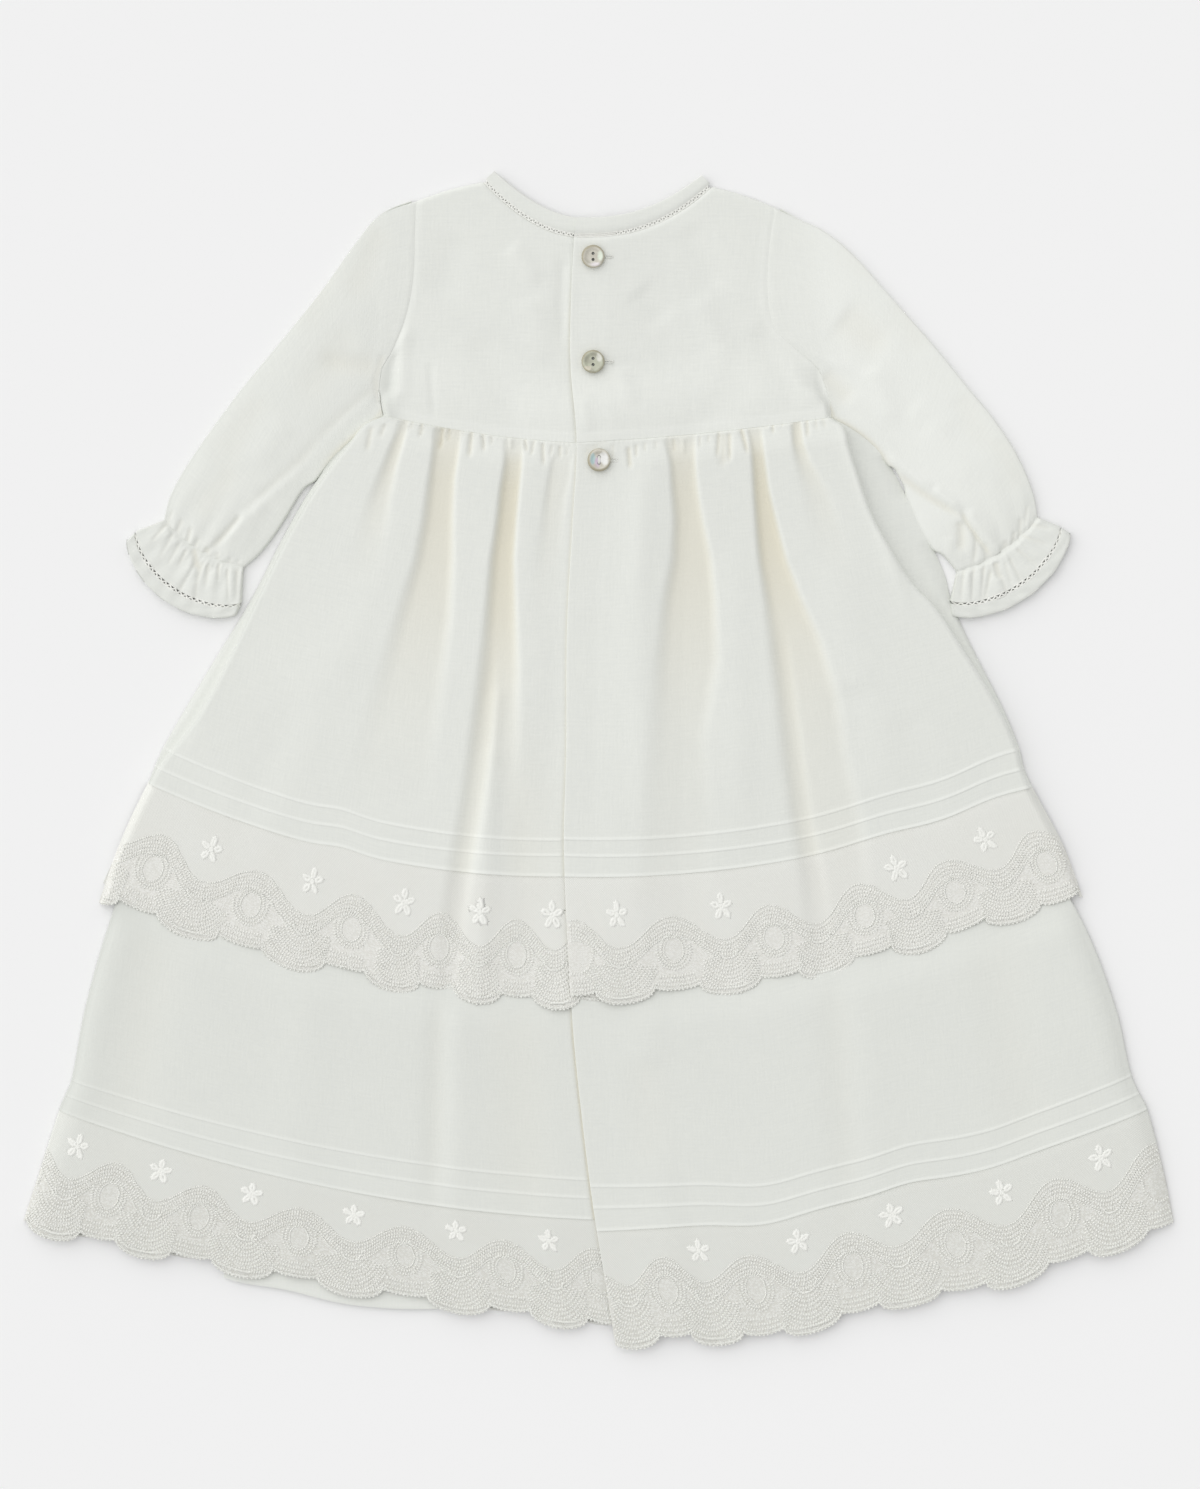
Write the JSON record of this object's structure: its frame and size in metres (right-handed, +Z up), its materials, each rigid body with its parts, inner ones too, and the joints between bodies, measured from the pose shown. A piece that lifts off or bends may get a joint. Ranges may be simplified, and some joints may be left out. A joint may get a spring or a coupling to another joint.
{
  "type": "christening gown",
  "caption": "Long-sleeved baby christening gown laid flat, back side up, with buttoned back, gathered double skirt, pintucks and scalloped lace hems.",
  "frame": {"origin": "on the surface that the gown lies on, at the middle of its outline", "axes": "+X towards the wearer's right sleeve as seen in the picture's right half, +Y towards the neck, +Z up off the surface; the back of the gown faces +Z"},
  "size_m": [0.5992, 0.6125, 0.012],
  "materials": {
    "linen": "matt white linen, plain weave",
    "lace": "fine white net with raised white embroidery",
    "lining": "matt white cotton batiste",
    "shell": "polished mother-of-pearl"
  },
  "bodies": {
    "root": {"front_bodice": "linen", "back_bodice_left": "linen", "back_bodice_right": "linen", "neck_binding_left": "linen", "neck_binding_right": "linen", "neck_binding_front": "linen", "sleeve_left": "linen", "sleeve_right": "linen", "cuff_frill_left": "linen", "cuff_frill_right": "linen", "cuff_binding_left": "linen", "cuff_binding_right": "linen", "overskirt_front": "linen", "overskirt_back_left": "linen", "overskirt_back_right": "linen", "overskirt_lace_front": "lace", "overskirt_lace_back_left": "lace", "overskirt_lace_back_right": "lace", "underskirt_front": "linen", "underskirt_back_left": "linen", "underskirt_back_right": "linen", "underskirt_lace_front": "lace", "underskirt_lace_back_left": "lace", "underskirt_lace_back_right": "lace", "lining_hem": "lining", "button_top": "shell", "button_middle": "shell", "button_waist": "shell"}
  },
  "joints": []
}
